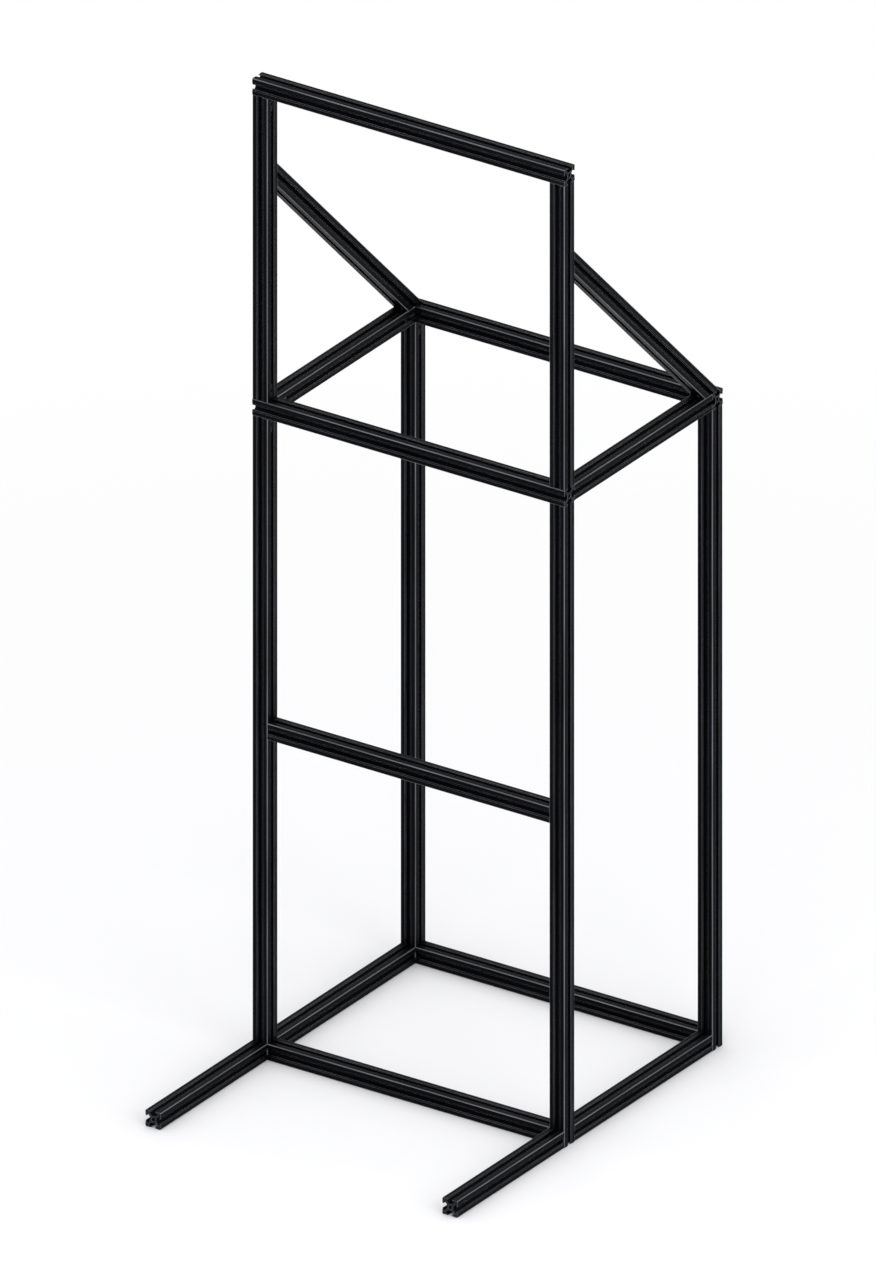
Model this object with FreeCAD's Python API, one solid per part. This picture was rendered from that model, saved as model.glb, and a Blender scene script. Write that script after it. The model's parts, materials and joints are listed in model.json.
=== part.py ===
import FreeCAD, Part
import math
import os

# A tall open rack bolted together from square T-slot aluminium bars.
# X runs across the front, Y to the back, Z up. The floor is z = 0 and the
# origin is the middle of the rack's footprint, feet included.

# Overall sizes
frame_width = 610.0          # across the outer faces of the posts
frame_depth = 460.0          # front faces of the front posts to rear faces of the rear posts
level_spacing = 578.0        # centre to centre of one level of rails and the next
upper_level_count = 2        # levels from the base up to the upper frame
top_level_count = 3          # and up to the top rail
foot_length = 310.0          # how far each foot reaches ahead of the front posts
brace_angle = 45.0           # degrees from level

# Section of the bar
side = 30.0                  # outside of the square
corner_radius = 2.0
mouth_width = 8.2            # slot opening between the lips
lip_thickness = 2.2          # from the outer face to the underside of the lips
lip_step_width = 2.6         # shallow step on each lip, beside the mouth
lip_step_depth = 0.4
channel_width = 16.5         # widest part of the slot, under the lips
channel_wall = 2.2           # straight side of the channel, before it slopes in
slot_depth = 9.0             # outer face to slot floor
core_bore = 6.8              # hole down the middle of the bar

# Fits
slide_fit = 0.05             # between a part in a slot and the face it bears on
slot_play = 0.15             # between a part and the side walls of the slot
thread_fit = 0.05            # around a screw drawn without its thread

# Quick connector: a flat T-headed anchor that hides in a slot at the end of a bar
anchor_width = 13.6
anchor_thickness = 3.5
anchor_length = 28.0
anchor_set_back = 0.3        # shoulder of the anchor behind the end of its bar
anchor_head_length = 3.5
grub_diameter = 6.0
grub_length = 6.0
grub_socket = 3.0            # across the flats of the hexagon
grub_socket_depth = 2.5
grub_place = 15.0            # from the end of the bar

# Screws and T-nuts of the braces
screw_diameter = 6.0
screw_hole = 6.6
screw_head_diameter = 10.5
screw_head_height = 3.3
screw_head_rim = 0.6         # straight edge under the dome
screw_socket = 4.0
screw_socket_depth = 2.1
counterbore = 11.5
upper_screw_length = 12.0
lower_screw_length = 20.0
lower_screw_shift = 8.0      # ahead of the middle of the lower mitre
screw_reach = 6.5            # how far a screw enters the bar that the brace stands on
nut_length = 14.0
nut_width = 13.6
nut_flange = 2.75            # thickness of the wide part
nut_taper_height = 2.2
nut_taper_width = 9.2        # width at the bottom of the taper
nut_recess = 0.6             # top of the nut below the lip step

# Flats that small rounds are drawn with
corner_flat_count = 3        # at each corner of the bar
grub_flat_count = 8          # around the set screws and their holes
thread_flat_count = 12       # around the brace screws and the holes of their nuts
head_flat_count = 16         # around the screw heads
hole_flat_count = 12         # around the stepped holes of the braces

# Places worked out from the sizes
half = side / 2
x_post = frame_width / 2 - half
y_foot_tip = -(foot_length + frame_depth) / 2
y_front_face = y_foot_tip + foot_length
y_front = y_front_face + half
y_rear = -y_foot_tip - half
z_base = half
z_middle = z_base + level_spacing
z_upper = z_base + upper_level_count * level_spacing
z_top = z_base + top_level_count * level_spacing
clear_width = frame_width - 2 * side
clear_depth = frame_depth - 2 * side

X = FreeCAD.Vector(1, 0, 0)
Y = FreeCAD.Vector(0, 1, 0)
Z = FreeCAD.Vector(0, 0, 1)


def point(x, y, z):
    return FreeCAD.Vector(x, y, z)


def placed(shape, origin, x_axis, y_axis, z_axis):
    """Carry a shape from its own axes to a place on the rack."""
    shape.Placement = FreeCAD.Placement(FreeCAD.Matrix(
        x_axis.x, y_axis.x, z_axis.x, origin.x,
        x_axis.y, y_axis.y, z_axis.y, origin.y,
        x_axis.z, y_axis.z, z_axis.z, origin.z,
        0, 0, 0, 1))
    return shape


def polygon_prism(points, direction):
    wire = Part.makePolygon(points + points[:1])
    return Part.Face(wire).extrude(direction)


def turned(profile, flat_count):
    """A form turned about Z: each pair of its profile is a radius and a height."""
    angles = [2 * math.pi * step / flat_count for step in range(flat_count)]
    rings = [[point(radius * math.cos(angle), radius * math.sin(angle), height)
              for angle in angles] for radius, height in profile]
    outlines = [rings[0], rings[-1]]
    for low, high in zip(rings, rings[1:]):
        for step in range(flat_count):
            outlines.append([low[step - 1], low[step], high[step], high[step - 1]])
    faces = [Part.Face(Part.makePolygon(outline + outline[:1])) for outline in outlines]
    return Part.Solid(Part.Shell(faces))


def channel_half_width(depth):
    """Half the width of a slot at a depth below the outer face."""
    slope_start = lip_thickness + channel_wall
    return channel_width / 2 - max(0.0, depth - slope_start)


def face_outline():
    """One side of the section with its slot, from one corner to the next.

    Each pair is the place along the face and the depth below it.
    """
    mouth = mouth_width / 2
    step = mouth + lip_step_width
    wall = channel_width / 2
    half_slot = [
        (step, 0),
        (step, lip_step_depth),
        (mouth, lip_step_depth),
        (mouth, lip_thickness),
        (wall, lip_thickness),
        (wall, lip_thickness + channel_wall),
        (channel_half_width(slot_depth), slot_depth),
    ]
    left = [(-along, depth) for along, depth in half_slot]
    right = list(reversed(half_slot))
    flat = half - corner_radius
    return [(-flat, 0)] + left + right + [(flat, 0)]


def corner_round():
    """Points round one corner of the section."""
    centre = half - corner_radius
    steps = [90.0 * step / corner_flat_count for step in range(corner_flat_count + 1)]
    return [point(centre + corner_radius * math.sin(math.radians(angle)),
                  centre + corner_radius * math.cos(math.radians(angle)), 0) for angle in steps]


def section_face():
    """The bar's cross-section: four slotted sides, round corners, a bore."""
    edges = []
    for quarter in range(4):
        turn = FreeCAD.Rotation(Z, -90 * quarter)
        outline = [turn.multVec(point(along, half - depth, 0)) for along, depth in face_outline()]
        for start, end in zip(outline, outline[1:]):
            edges.append(Part.LineSegment(start, end).toShape())
        corner = [turn.multVec(place) for place in corner_round()]
        for start, end in zip(corner, corner[1:]):
            edges.append(Part.LineSegment(start, end).toShape())
    outer = Part.Wire(edges)
    bore = Part.Wire(Part.makeCircle(core_bore / 2))
    return Part.Face([outer, bore])


def bar(start, axis, length):
    """A length of the extrusion from a start point along X, Y or Z."""
    across = {(1, 0, 0): (Y, Z), (0, 1, 0): (Z, X), (0, 0, 1): (X, Y)}[tuple(axis)]
    return placed(section_face().extrude(Z * length), start, across[0], across[1], axis)


def hexagon(across_flats, depth):
    corner = across_flats / math.sqrt(3)
    corners = [point(corner * math.cos(math.radians(60 * turn)),
                     corner * math.sin(math.radians(60 * turn)), 0) for turn in range(6)]
    return polygon_prism(corners, Z * depth)


def anchor():
    """Quick connector anchor, with its bar along Z, ending at z = 0, slot facing +Y."""
    wide = anchor_width / 2
    neck = mouth_width / 2 - slot_play
    shoulder = -anchor_set_back
    head_back = lip_thickness + slide_fit
    head_front = head_back + anchor_head_length
    half_plan = [(wide, -anchor_length), (wide, shoulder), (neck, shoulder),
                 (neck, head_back), (wide, head_back), (wide, head_front)]
    plan = half_plan + [(-across, along) for across, along in reversed(half_plan)]
    top = half - lip_thickness - slide_fit
    bottom = top - anchor_thickness
    plate = polygon_prism([point(across, bottom, along) for across, along in plan],
                          Y * anchor_thickness)
    radius = grub_diameter / 2 + thread_fit
    hole = turned([(radius, 0), (radius, side)], grub_flat_count)
    return plate.cut(placed(hole, point(0, 0, -grub_place), Z, X, Y))


def grub_screw():
    """Set screw of a connector: it stands on the slot floor and lifts the anchor."""
    tip = half - slot_depth + slide_fit
    radius = grub_diameter / 2
    body = turned([(radius, 0), (radius, grub_length)], grub_flat_count)
    socket = hexagon(grub_socket, grub_socket_depth)
    socket.translate(Z * (grub_length - grub_socket_depth))
    return placed(body.cut(socket), point(0, tip, -grub_place), Z, X, Y)


def button_screw(length):
    """Dome-headed socket screw: the head stands on z = 0, the shank runs down."""
    rim = screw_head_diameter / 2
    crown = screw_socket / 2 + screw_head_rim
    shoulder = (2 * rim + crown) / 3
    shoulder_height = (screw_head_rim + 2 * screw_head_height) / 3
    head = turned([(rim, 0), (rim, screw_head_rim), (shoulder, shoulder_height),
                   (crown, screw_head_height)], head_flat_count)
    radius = screw_diameter / 2
    shank = turned([(radius, -length), (radius, screw_head_rim)], thread_flat_count)
    socket = hexagon(screw_socket, screw_socket_depth)
    socket.translate(Z * (screw_head_height - screw_socket_depth))
    return head.fuse(shank).removeSplitter().cut(socket)


def t_nut():
    """Slot nut along X, with the face of its bar at z = 0."""
    neck = mouth_width / 2 - slot_play
    top = -(lip_step_depth + nut_recess)
    shoulder = -(lip_thickness + slide_fit)
    flange = shoulder - nut_flange
    bottom = flange - nut_taper_height
    half_shape = [(neck, top), (neck, shoulder), (nut_width / 2, shoulder),
                  (nut_width / 2, flange), (nut_taper_width / 2, bottom)]
    shape = half_shape + [(-across, height) for across, height in reversed(half_shape)]
    body = polygon_prism([point(-nut_length / 2, across, height) for across, height in shape],
                         X * nut_length)
    radius = screw_diameter / 2 + thread_fit
    return body.cut(turned([(radius, -half), (radius, half)], thread_flat_count))


# Where the braces stand: the line through the middle of a brace passes through
# the middle of the corner of the upper frame behind it.
slope = math.tan(math.radians(brace_angle))
brace_direction = point(0, math.cos(math.radians(brace_angle)),
                        -math.sin(math.radians(brace_angle)))
y_post_back = y_front + half
z_rail_top = z_upper + half
z_brace_top = z_upper + (y_rear - y_post_back) * slope
y_brace_bottom = y_rear - half / slope
y_lower_screw = y_brace_bottom - lower_screw_shift


def brace(x):
    """A bar cut at both ends to stand on the side rail and against the post."""
    span = (y_rear - y_front) / math.cos(math.radians(brace_angle))
    over = 2 * side
    start = point(x, y_rear, z_upper) - brace_direction * (span + over)
    second = X.cross(brace_direction) * -1
    blank = placed(section_face().extrude(Z * (span + 2 * over)), start,
                   X, second, brace_direction)
    keep = Part.makeBox(side, frame_depth, z_top, point(x - half, y_post_back, z_rail_top))
    body = blank.common(keep)
    return body.cut(upper_brace_hole(x)).cut(lower_brace_hole(x))


def stepped_hole(seat_height):
    """Screw hole from the mitred end at z = 0, with a counterbore from its seat outwards."""
    narrow = screw_hole / 2
    wide = counterbore / 2
    return turned([(narrow, -half), (narrow, seat_height), (wide, seat_height),
                   (wide, seat_height + 2 * side)], hole_flat_count)


def upper_brace_hole(x):
    hole = stepped_hole(upper_screw_length - screw_reach)
    return placed(hole, point(x, y_post_back, z_brace_top), X, Z * -1, Y)


def lower_brace_hole(x):
    hole = stepped_hole(lower_screw_length - screw_reach)
    return placed(hole, point(x, y_lower_screw, z_rail_top), X, Y, Z)


def brace_screw_up(x):
    y_seat = y_post_back + upper_screw_length - screw_reach
    return placed(button_screw(upper_screw_length), point(x, y_seat, z_brace_top), X, Z * -1, Y)


def brace_screw_low(x):
    z_seat = z_rail_top + lower_screw_length - screw_reach
    return placed(button_screw(lower_screw_length), point(x, y_lower_screw, z_seat), X, Y, Z)


def brace_nuts(x):
    upper = placed(t_nut(), point(x, y_post_back, z_brace_top), Z, X, Y)
    lower = placed(t_nut(), point(x, y_lower_screw, z_rail_top), Y, X * -1, Z)
    return [upper, lower]


def cross_rail(y, z):
    """A rail between two posts, fastened at both ends."""
    return (point(-clear_width / 2, y, z), X, clear_width, (-1, 1))


def long_rail(y, z):
    """A rail that lies over the posts, which are fastened to it."""
    return (point(-frame_width / 2, y, z), X, frame_width, ())


def side_rail(x, z):
    return (point(x, y_front + half, z), Y, clear_depth, (-1, 1))


def foot(x):
    return (point(x, y_foot_tip, z_base), Y, foot_length, (1,))


def lower_post(x, y):
    return (point(x, y, 0), Z, z_upper - half, (1,))


def upper_post(x):
    return (point(x, y_front, z_upper + half), Z, z_top - z_upper - side, (-1, 1))


def members():
    """Every bar: its start, direction, length, fastened ends and connector slot."""
    down = Z * -1
    bars = {
        "base_front_rail": cross_rail(y_front, z_base) + (down,),
        "base_rear_rail": cross_rail(y_rear, z_base) + (down,),
        "middle_rail": cross_rail(y_front, z_middle) + (down,),
        "upper_front_rail": long_rail(y_front, z_upper) + (down,),
        "upper_rear_rail": long_rail(y_rear, z_upper) + (down,),
        "top_rail": long_rail(y_front, z_top) + (down,),
    }
    for hand, x in (("left", -x_post), ("right", x_post)):
        inward = X if x < 0 else X * -1
        bars["base_" + hand + "_rail"] = side_rail(x, z_base) + (down,)
        bars["upper_" + hand + "_rail"] = side_rail(x, z_upper) + (inward,)
        bars[hand + "_foot"] = foot(x) + (down,)
        bars["front_" + hand + "_post"] = lower_post(x, y_front) + (inward,)
        bars["rear_" + hand + "_post"] = lower_post(x, y_rear) + (inward,)
        bars["upper_" + hand + "_post"] = upper_post(x) + (inward,)
    return bars


def connector_places():
    """The end of each fastened bar: its point, the way out of it and its slot's side."""
    places = []
    for start, axis, length, ends, slot in members().values():
        for end in ends:
            tip = start + axis * length if end > 0 else start
            places.append((tip, axis * end, slot))
    return places


def at_bar_end(make, place):
    """A piece of a connector, carried to the end of the bar that it fastens."""
    tip, outward, slot = place
    shape = make()
    local = shape.Placement
    placed(shape, tip, slot.cross(outward), slot, outward)
    shape.Placement = shape.Placement.multiply(local)
    return shape


def build():
    parts = {}
    for name, (start, axis, length, ends, slot) in members().items():
        parts[name] = bar(start, axis, length)
    parts["left_brace"] = brace(-x_post)
    parts["right_brace"] = brace(x_post)
    places = connector_places()
    parts["connector_anchors"] = Part.makeCompound([at_bar_end(anchor, place) for place in places])
    parts["connector_grub_screws"] = Part.makeCompound(
        [at_bar_end(grub_screw, place) for place in places])
    hands = (-x_post, x_post)
    parts["brace_upper_screws"] = Part.makeCompound([brace_screw_up(x) for x in hands])
    parts["brace_lower_screws"] = Part.makeCompound([brace_screw_low(x) for x in hands])
    parts["brace_t_nuts"] = Part.makeCompound([nut for x in hands for nut in brace_nuts(x)])
    return parts


os.makedirs("parts", exist_ok=True)
for name, shape in build().items():
    shape.exportStep("parts/" + name + ".step")
    print(name, len(shape.Solids), round(shape.Volume), shape.isValid())
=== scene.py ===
import bpy
import json
import math
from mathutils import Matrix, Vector


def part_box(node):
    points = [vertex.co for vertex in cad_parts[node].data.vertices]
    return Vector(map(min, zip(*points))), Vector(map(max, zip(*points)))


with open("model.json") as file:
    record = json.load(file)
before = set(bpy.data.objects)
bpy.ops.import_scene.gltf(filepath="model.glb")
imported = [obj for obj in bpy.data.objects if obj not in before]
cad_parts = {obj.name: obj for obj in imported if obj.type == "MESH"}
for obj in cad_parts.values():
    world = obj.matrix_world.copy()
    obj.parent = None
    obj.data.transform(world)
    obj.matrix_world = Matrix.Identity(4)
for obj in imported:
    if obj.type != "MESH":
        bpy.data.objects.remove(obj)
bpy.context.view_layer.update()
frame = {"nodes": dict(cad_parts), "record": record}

MM = 0.001
QUARTER = math.radians(90)

# Where the view stands, in metres: a parallel view from the front, the right and above
VIEW_ROUND = math.radians(33.93)
VIEW_UP = math.radians(26.07)
VIEW_HEIGHT = 2.055
VIEW_CENTRE = Vector((0.0076, 0.0, 0.8163))
VIEW_DISTANCE = 6.0

# The floor, in metres
FLOOR_SIZE = 40.0
FLOOR_DROP = 0.0005          # just clear of the bars that stand on it
FLOOR_PALE = 0.8             # out to here it is plain floor
FLOOR_WHITE = 2.8            # and from here it is white
FLOOR_ROUGHNESS = 0.9
FLOOR_GLOSS = 0.1            # its specular level

# The light: the sky's strength, then each lamp's place, its width in metres and its watts
SKY_STRENGTH = 0.88
LAMP_AIM = Vector((0, 0, 0.9))
LAMPS = {
    "key": ((0.8, -4.0, 3.2), 3.6, 44.0),
    "fill": ((3.6, -1.2, 2.2), 2.4, 30.0),
    "top": ((0.0, 0.6, 4.6), 3.0, 18.0),
}

# Colours
ANODISED = "#060607"
ANODISED_STREAK = "#15161A"
ANODISED_WORN = "#26272B"
# The two greys of a bar's rounded edges are a painted highlight, partly bare metal rubbed through the
# dye
EDGE_WEAR_AND_HIGHLIGHT = "#8E9199"
EDGE_WEAR_AND_HIGHLIGHT_DIM = "#64676E"
SAWN_END = "#141518"
SAWN_RIDGE = "#303136"
ZINC = "#B9BCC0"
ZINC_DULL = "#8F9296"
BLACK_OXIDE = "#222226"
BLACK_OXIDE_WORN = "#38383C"
FLOOR = "#FAFAFC"
BACKGROUND = "#FFFFFF"

# Sizes of what the finishes show, in millimetres
DIE_LINE = 0.7               # spacing of the die's fine lines, drawn coarse enough to show
DIE_STREAK = 2.6             # the coarser streaks among them, wide enough to show from a step away
STREAK_LENGTH = 260.0        # how far a line or a streak runs along the bar
TONE_LENGTH = 140.0          # slow change of the dye's tone
SCUFF = 1.4                  # width of a handling mark
SCUFF_LENGTH = 11.2
SCUFFED_WIDTH = 60.0         # patches in which such marks gather
SCUFFED_LENGTH = 90.0
RUB = 1.4                    # width of a rubbed place on a rounded edge
SAW_LINE = 0.6               # spacing of the saw's arcs on a cut end, coarse enough to show
SAW_RADIUS = 150.0           # of the blade that leaves them
PLATE_GRAIN = 1.5            # mottle of the zinc plate and the black oxide, coarse enough to show
RELIEF = 0.02                # height of the lines, the arcs and the mottle
CORNER_RADIUS = 0.35         # rounding between the flats of the extrusion's corners
SLOT_EDGE_RADIUS = 0.21      # rounding of its slots' edges and of the cut ends
HARDWARE_EDGE_RADIUS = 0.25  # rounding on the edges of screws, nuts and anchors
WELD_REACH = 0.001           # points nearer than this are one point

# Where each mark starts to show in its noise, and where it shows in full
NOISE_RANGE = (0.3, 0.7)     # nearly all of a noise lies in here
LINES_SHOW = (0.55, 0.7)
STREAKS_SHOW = (0.45, 0.75)
SCUFFS_SHOW = (0.66, 0.74)
SCUFFED_SHOW = (0.5, 0.62)
RUB_SHOWS = (0.35, 0.65)
MOTTLE_SHOWS = (0.4, 0.7)

# How much of its colour a mark has at most
LINE_SHARE = 0.5
SCUFF_SHARE = 0.6

# Roughness: one value, or that of a finish's smooth places and of its dull ones
SATIN = (0.30, 0.42)
TONE_SHIFT = 0.04            # what the dye's tone adds to that or takes away
SAWN_ROUGHNESS = 0.5
EDGE_ROUGHNESS = 0.35
ZINC_ROUGHNESS = (0.25, 0.4)
OXIDE_ROUGHNESS = (0.3, 0.5)

ANODISED_GLOSS = 0.02        # specular level of the dyed black, which hardly mirrors face on
LINE_RELIEF = 0.25           # how strongly the relief of a bar shows
MOTTLE_RELIEF = 0.2          # and that of the steels

# How squarely a face looks along its bar: up to the first it is a side, from the second an end
END_FACING = (0.45, 0.6)

# Angles between two faces at their edge
FLATTEST_EDGE = math.radians(25)  # an edge flatter than this isn't rounded
CORNER_EDGE = math.radians(35)    # up to here it lies between the flats of a bar's corner
SQUARE_EDGE = math.radians(60)    # from here it is a slot's edge or a cut end's
ROUND_EDGE = math.radians(35)     # flats of a screw that meet at less are shaded as one round
SAME_FACE = math.radians(1)

# How a place is turned so that its bar runs along Z
TURNS = {"X": (0, -QUARTER, 0), "Y": (QUARTER, 0, 0), "Z": (0, 0, 0), "slope": (-QUARTER / 2, 0, 0)}

RING_STEP = math.pi / 10     # from one ring of the wave texture to the next, before it is scaled


def linear(colour):
    """An sRGB hex colour as the linear colour that the shaders take."""
    channels = [int(colour[place:place + 2], 16) / 255 for place in (1, 3, 5)]
    bent = [c / 12.92 if c <= 0.04045 else ((c + 0.055) / 1.055) ** 2.4 for c in channels]
    return tuple(bent) + (1.0,)


def add(owner, kind, settings=None, links=None):
    """Adds a node with its settings and inputs: a value, a socket or a node, for its own output."""
    tree = getattr(owner, "node_tree", owner)
    node = tree.nodes.new(kind)
    for name, value in (settings or {}).items():
        setattr(node, name, value)
    for socket, value in (links or {}).items():
        if isinstance(value, bpy.types.Node):
            value = next(output for output in value.outputs if output.enabled)
        if isinstance(value, bpy.types.NodeSocket):
            tree.links.new(value, node.inputs[socket])
        else:
            node.inputs[socket].default_value = value
    return node


def blank(name):
    material = bpy.data.materials.new(name)
    material.use_nodes = True
    material.node_tree.nodes.clear()
    return material


def along_bar(material, turn):
    """Places on the bar in millimetres, turned so that the bar runs along Z."""
    place = add(material, "ShaderNodeTexCoord").outputs["Object"]
    turned = add(material, "ShaderNodeMapping", links={"Vector": place, "Rotation": turn})
    to_mm = (1 / MM, 1 / MM, 1 / MM)
    return add(material, "ShaderNodeMapping", links={"Vector": turned, "Scale": to_mm})


def marks(material, place, width, length, detail, roughness=0.5):
    """Uneven marks from 0 to 1, as wide across the bar and as long along it as given."""
    size = (1 / width, 1 / width, 1 / length)
    sized = add(material, "ShaderNodeMapping", links={"Vector": place, "Scale": size})
    return add(material, "ShaderNodeTexNoise",
               links={"Vector": sized, "Scale": 1.0, "Detail": detail, "Roughness": roughness})


def tinted(material, ground, tint, pattern, shows, most=1.0):
    """A colour with a second one over it, more of it the stronger the pattern shows."""
    share = add(material, "ShaderNodeMapRange", links={
        "Value": pattern, "From Min": shows[0], "From Max": shows[1], "To Max": most})
    return add(material, "ShaderNodeMix", {"data_type": "RGBA"}, {0: share, 6: ground, 7: tint})


def bar_end(material, turn):
    """1 on the faces that close the bar's ends and mitres, 0 along its sides."""
    normal = add(material, "ShaderNodeNewGeometry").outputs["Normal"]
    turned = add(material, "ShaderNodeMapping", links={"Vector": normal, "Rotation": turn})
    height = add(material, "ShaderNodeSeparateXYZ", links={0: turned}).outputs["Z"]
    size = add(material, "ShaderNodeMath", {"operation": "ABSOLUTE"}, {0: height})
    return add(material, "ShaderNodeMapRange", links={
        "Value": size, "From Min": END_FACING[0], "From Max": END_FACING[1]})


def saw_arcs(material, place):
    """The fine arcs that a round saw leaves on a cut end, from 0 to 1."""
    size = SAW_LINE / RING_STEP
    shift = SAW_RADIUS / size
    centred = add(material, "ShaderNodeMapping", links={
        "Vector": place, "Location": (shift, shift, 0), "Scale": (1 / size, 1 / size, 0)})
    return add(material, "ShaderNodeTexWave", {"wave_type": "RINGS", "rings_direction": "Z"},
               {"Vector": centred, "Scale": 1.0, "Distortion": 1.5, "Detail": 2.0}).outputs["Fac"]


def black_anodised_aluminium(name, turn):
    """Extruded aluminium, etched and dyed black: a deep satin black that lightens to grey
    where it faces a light, with fine lines from the die along the bar and duller sawn ends."""
    material = blank(name)
    place = along_bar(material, turn)
    lines = marks(material, place, DIE_LINE, STREAK_LENGTH, detail=1.0)
    streaks = marks(material, place, DIE_STREAK, STREAK_LENGTH, detail=3.0)
    tone = marks(material, place, TONE_LENGTH, TONE_LENGTH, detail=2.0)
    scuffs = marks(material, place, SCUFF, SCUFF_LENGTH, detail=4.0, roughness=0.65)
    patches = marks(material, place, SCUFFED_WIDTH, SCUFFED_LENGTH, detail=1.0)

    side = tinted(material, linear(ANODISED), linear(ANODISED_STREAK), streaks, STREAKS_SHOW)
    side = tinted(material, side, linear(ANODISED_STREAK), lines, LINES_SHOW, LINE_SHARE)
    scuffed = add(material, "ShaderNodeMapRange", links={
        "Value": patches, "From Min": SCUFFED_SHOW[0], "From Max": SCUFFED_SHOW[1],
        "To Max": SCUFF_SHARE})
    worn = add(material, "ShaderNodeMapRange", links={
        "Value": scuffs, "From Min": SCUFFS_SHOW[0], "From Max": SCUFFS_SHOW[1],
        "To Max": scuffed})
    side = add(material, "ShaderNodeMix", {"data_type": "RGBA"},
               {0: worn, 6: side, 7: linear(ANODISED_WORN)})

    arcs = saw_arcs(material, place)
    cut = add(material, "ShaderNodeMix", {"data_type": "RGBA"},
              {0: arcs, 6: linear(SAWN_END), 7: linear(SAWN_RIDGE)})
    end = bar_end(material, turn)
    colour = add(material, "ShaderNodeMix", {"data_type": "RGBA"}, {0: end, 6: side, 7: cut})

    satin = add(material, "ShaderNodeMapRange", links={
        "Value": streaks, "From Min": NOISE_RANGE[0], "From Max": NOISE_RANGE[1],
        "To Min": SATIN[0], "To Max": SATIN[1]})
    shift = add(material, "ShaderNodeMapRange", links={
        "Value": tone, "From Min": NOISE_RANGE[0], "From Max": NOISE_RANGE[1],
        "To Min": -TONE_SHIFT, "To Max": TONE_SHIFT})
    satin = add(material, "ShaderNodeMath", {"operation": "ADD"}, {0: satin, 1: shift})
    sawn = add(material, "ShaderNodeMath", {"operation": "MULTIPLY"}, {0: end, 1: SAWN_ROUGHNESS})
    rough = add(material, "ShaderNodeMath", {"operation": "MAXIMUM"}, {0: satin, 1: sawn})
    relief = add(material, "ShaderNodeMix", {"data_type": "FLOAT"}, {0: end, 2: lines, 3: arcs})
    bump = add(material, "ShaderNodeBump", links={
        "Height": relief, "Strength": LINE_RELIEF, "Distance": RELIEF * MM})
    shader = add(material, "ShaderNodeBsdfPrincipled", links={
        "Base Color": colour, "Specular IOR Level": ANODISED_GLOSS, "Roughness": rough,
        "Normal": bump})
    add(material, "ShaderNodeOutputMaterial", links={"Surface": shader})
    return material


def edge_wear_and_highlight(name, turn):
    """The rounded edges of the extrusion: a lighter grey painted on as a highlight, partly bare metal
    polished by the die and by hands, so that they show as thin grey lines along the black bar."""
    material = blank(name)
    rubbed = marks(material, along_bar(material, turn), RUB, TONE_LENGTH, detail=2.0)
    colour = tinted(material, linear(EDGE_WEAR_AND_HIGHLIGHT_DIM), linear(EDGE_WEAR_AND_HIGHLIGHT), rubbed, RUB_SHOWS)
    shader = add(material, "ShaderNodeBsdfPrincipled", links={
        "Base Color": colour, "Metallic": 1.0, "Roughness": EDGE_ROUGHNESS})
    add(material, "ShaderNodeOutputMaterial", links={"Surface": shader})
    return material


def plated_steel(name, colour, dull_colour, roughness):
    """Steel with a thin finish: even in colour, with a faint mottle that also dulls its gloss."""
    material = blank(name)
    place = along_bar(material, TURNS["Z"])
    mottle = marks(material, place, PLATE_GRAIN, PLATE_GRAIN, detail=3.0)
    colour = tinted(material, linear(colour), linear(dull_colour), mottle, MOTTLE_SHOWS)
    rough = add(material, "ShaderNodeMapRange", links={
        "Value": mottle, "From Min": NOISE_RANGE[0], "From Max": NOISE_RANGE[1],
        "To Min": roughness[0], "To Max": roughness[1]})
    bump = add(material, "ShaderNodeBump", links={
        "Height": mottle, "Strength": MOTTLE_RELIEF, "Distance": RELIEF * MM})
    shader = add(material, "ShaderNodeBsdfPrincipled", links={
        "Base Color": colour, "Metallic": 1.0, "Roughness": rough, "Normal": bump})
    add(material, "ShaderNodeOutputMaterial", links={"Surface": shader})
    return material


def zinc_plated_steel():
    """Bright zinc on pressed steel: pale blue grey with soft broad highlights."""
    return plated_steel("zinc_plated_steel", ZINC, ZINC_DULL, ZINC_ROUGHNESS)


def black_oxide_steel():
    """Oil-blacked screws and anchors: near black, a little glossy, grey where a tool rubs."""
    return plated_steel("black_oxide_steel", BLACK_OXIDE, BLACK_OXIDE_WORN, OXIDE_ROUGHNESS)


def dress(node, *materials):
    """Gives a CAD node its finish, and for a bar the grey of its rounded edges too, a painted
    highlight that is partly wear.
    """
    node.data.materials.clear()
    for material in materials:
        node.data.materials.append(material)


def modifier_tree(name):
    """The nodes of a modifier, with the mesh that comes in."""
    tree = bpy.data.node_groups.new(name, "GeometryNodeTree")
    for way in ("INPUT", "OUTPUT"):
        tree.interface.new_socket("Geometry", in_out=way, socket_type="NodeSocketGeometry")
    return tree, add(tree, "NodeGroupInput").outputs["Geometry"]


def outward_edges():
    """A modifier's nodes that mark the outward edges, since only they are rounded: the blunt
    ones at the corners in full, the square ones of slots and cut ends less."""
    tree, mesh = modifier_tree("outward_edges")
    angle = add(tree, "GeometryNodeInputMeshEdgeAngle").outputs["Signed Angle"]
    sharp = add(tree, "ShaderNodeMath", {"operation": "GREATER_THAN"}, {0: angle, 1: FLATTEST_EDGE})
    share = add(tree, "ShaderNodeMapRange", links={
        "Value": angle, "From Min": CORNER_EDGE, "From Max": SQUARE_EDGE,
        "To Min": 1.0, "To Max": SLOT_EDGE_RADIUS / CORNER_RADIUS})
    weight = add(tree, "ShaderNodeMath", {"operation": "MULTIPLY"}, {0: sharp, 1: share})
    marked = add(tree, "GeometryNodeStoreNamedAttribute", {"data_type": "FLOAT", "domain": "EDGE"},
                 {"Geometry": mesh, "Name": "bevel_weight_edge", "Value": weight})
    add(tree, "NodeGroupOutput", links={0: marked})
    return tree


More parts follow.
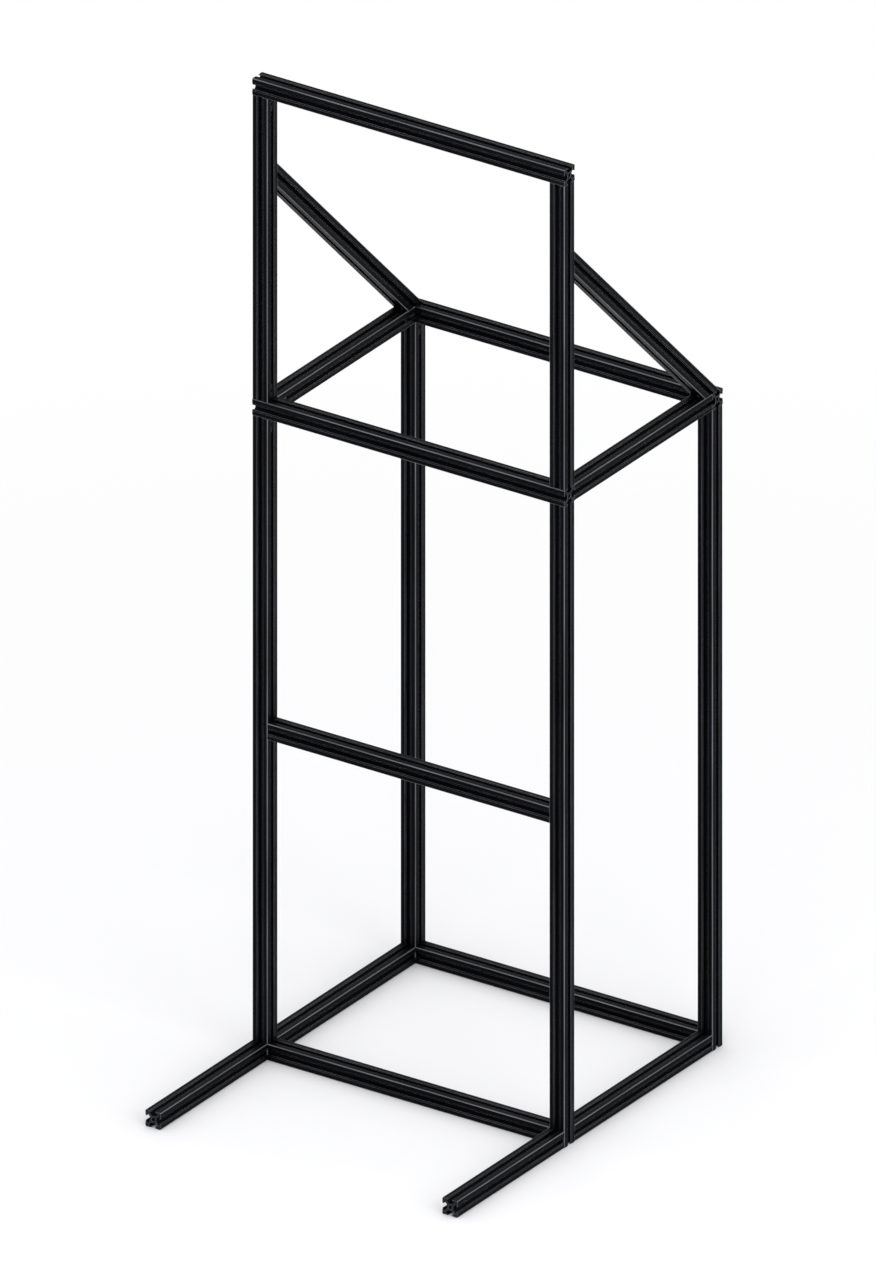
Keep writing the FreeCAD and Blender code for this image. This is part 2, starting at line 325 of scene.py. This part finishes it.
def smooth_rounds():
    """A modifier's nodes that shade the flats of a screw's head or shank as one round."""
    tree, mesh = modifier_tree("smooth_rounds")
    soft = add(tree, "GeometryNodeSetShadeSmooth", {"domain": "FACE"},
               {"Geometry": mesh, "Shade Smooth": True})
    angle = add(tree, "GeometryNodeInputMeshEdgeAngle").outputs["Unsigned Angle"]
    blunt = add(tree, "ShaderNodeMath", {"operation": "LESS_THAN"}, {0: angle, 1: ROUND_EDGE})
    shaded = add(tree, "GeometryNodeSetShadeSmooth", {"domain": "EDGE"},
                 {"Geometry": soft, "Shade Smooth": blunt})
    add(tree, "NodeGroupOutput", links={0: shaded})
    return tree


def run_nodes(node, tree):
    node.modifiers.new(tree.name, "NODES").node_group = tree


def round_edges(node, marker, radius, edge_slot):
    """Rounds a piece's outward edges a little, so that they catch the light."""
    weld = node.modifiers.new("weld", "WELD")
    weld.merge_threshold = WELD_REACH * MM
    flat = node.modifiers.new("whole_faces", "DECIMATE")
    flat.decimate_type = "DISSOLVE"
    flat.angle_limit = SAME_FACE
    run_nodes(node, marker)
    bevel = node.modifiers.new("edges", "BEVEL")
    bevel.width = radius * MM
    bevel.segments = 2
    bevel.limit_method = "WEIGHT"
    bevel.use_clamp_overlap = False
    # on a bar the rounded edges take its second material, a painted highlight that is partly wear
    bevel.material = edge_slot
    bevel.harden_normals = True


def bar_direction(name):
    """Along which axis a bar runs, from its own box; a brace slopes in the YZ plane."""
    if name.endswith("_brace"):
        return "slope"
    low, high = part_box(name)
    size = [high[axis] - low[axis] for axis in range(3)]
    return "XYZ"[size.index(max(size))]


def dress_everything():
    """Each node takes the finish of its slot in the record; a bar's also follows its direction."""
    steels = {"zinc_plated_steel": zinc_plated_steel(), "black_oxide_steel": black_oxide_steel()}
    # A bar's second material is the painted highlight, partly wear, of its rounded edges
    bars = {way: (black_anodised_aluminium("black_anodised_" + way.lower(), turn),
                  edge_wear_and_highlight("edge_wear_and_highlight_" + way.lower(), turn))
            for way, turn in TURNS.items()}
    marker = outward_edges()
    smoother = smooth_rounds()
    for part in frame["record"]["subparts"]:
        node = frame["nodes"][part["node"]]
        if part["material_slot"] in steels:
            dress(node, steels[part["material_slot"]])
            round_edges(node, marker, HARDWARE_EDGE_RADIUS, 0)
            run_nodes(node, smoother)
        else:
            dress(node, *bars[bar_direction(part["node"])])
            round_edges(node, marker, CORNER_RADIUS, 1)


def seen_or_mirrored(owner):
    """1 for what the view, a gloss or a clear piece shows, 0 for what only lights the frame."""
    path = add(owner, "ShaderNodeLightPath")
    seen = path.outputs["Is Camera Ray"]
    for kind in ("Is Glossy Ray", "Is Transmission Ray"):
        seen = add(owner, "ShaderNodeMath", {"operation": "MAXIMUM"}, {0: seen, 1: path.outputs[kind]})
    return seen


def floor():
    """A plain pale floor, which takes the frame's shadow and far off turns as white as the sky."""
    bpy.ops.mesh.primitive_plane_add(size=FLOOR_SIZE, location=(0, 0, -FLOOR_DROP))
    plane = bpy.context.object
    plane.name = "floor"
    material = blank("pale_floor")
    near = add(material, "ShaderNodeBsdfPrincipled", links={
        "Base Color": linear(FLOOR), "Roughness": FLOOR_ROUGHNESS,
        "Specular IOR Level": FLOOR_GLOSS})
    far = add(material, "ShaderNodeEmission", links={"Color": linear(BACKGROUND), "Strength": 1.0})
    place = add(material, "ShaderNodeTexCoord").outputs["Object"]
    away = add(material, "ShaderNodeVectorMath", {"operation": "LENGTH"}, {0: place}).outputs["Value"]
    share = add(material, "ShaderNodeMapRange", links={
        "Value": away, "From Min": FLOOR_PALE, "From Max": FLOOR_WHITE,
        "To Max": seen_or_mirrored(material)})
    shader = add(material, "ShaderNodeMixShader", links={0: share, 1: near, 2: far})
    add(material, "ShaderNodeOutputMaterial", links={"Surface": shader})
    plane.data.materials.append(material)


def sky():
    """White where it is seen or mirrored, a softer grey where it lights the frame."""
    world = bpy.data.worlds.new("studio")
    bpy.context.scene.world = world
    world.use_nodes = True
    world.node_tree.nodes.clear()
    strength = add(world, "ShaderNodeMapRange", links={
        "Value": seen_or_mirrored(world), "To Min": SKY_STRENGTH, "To Max": 1.0})
    light = add(world, "ShaderNodeBackground", links={
        "Color": linear(BACKGROUND), "Strength": strength})
    add(world, "ShaderNodeOutputWorld", links={"Surface": light})


def lamps():
    """Large soft lamps, all aimed at the middle of the frame."""
    for name, (place, width, watts) in LAMPS.items():
        data = bpy.data.lights.new(name, "AREA")
        data.shape = "SQUARE"
        data.size = width
        data.energy = watts
        lamp = bpy.data.objects.new(name, data)
        lamp.location = place
        lamp.rotation_euler = (LAMP_AIM - Vector(place)).to_track_quat("-Z", "Y").to_euler()
        bpy.context.scene.collection.objects.link(lamp)


def camera():
    data = bpy.data.cameras.new("camera")
    data.type = "ORTHO"
    data.ortho_scale = VIEW_HEIGHT
    view = bpy.data.objects.new("camera", data)
    back = Vector((math.sin(VIEW_ROUND) * math.cos(VIEW_UP),
                   -math.cos(VIEW_ROUND) * math.cos(VIEW_UP), math.sin(VIEW_UP)))
    view.location = VIEW_CENTRE + back * VIEW_DISTANCE
    view.rotation_euler = back.to_track_quat("Z", "Y").to_euler()
    bpy.context.scene.collection.objects.link(view)
    bpy.context.scene.camera = view


dress_everything()
floor()
sky()
lamps()
camera()
bpy.context.scene.view_settings.view_transform = "Standard"
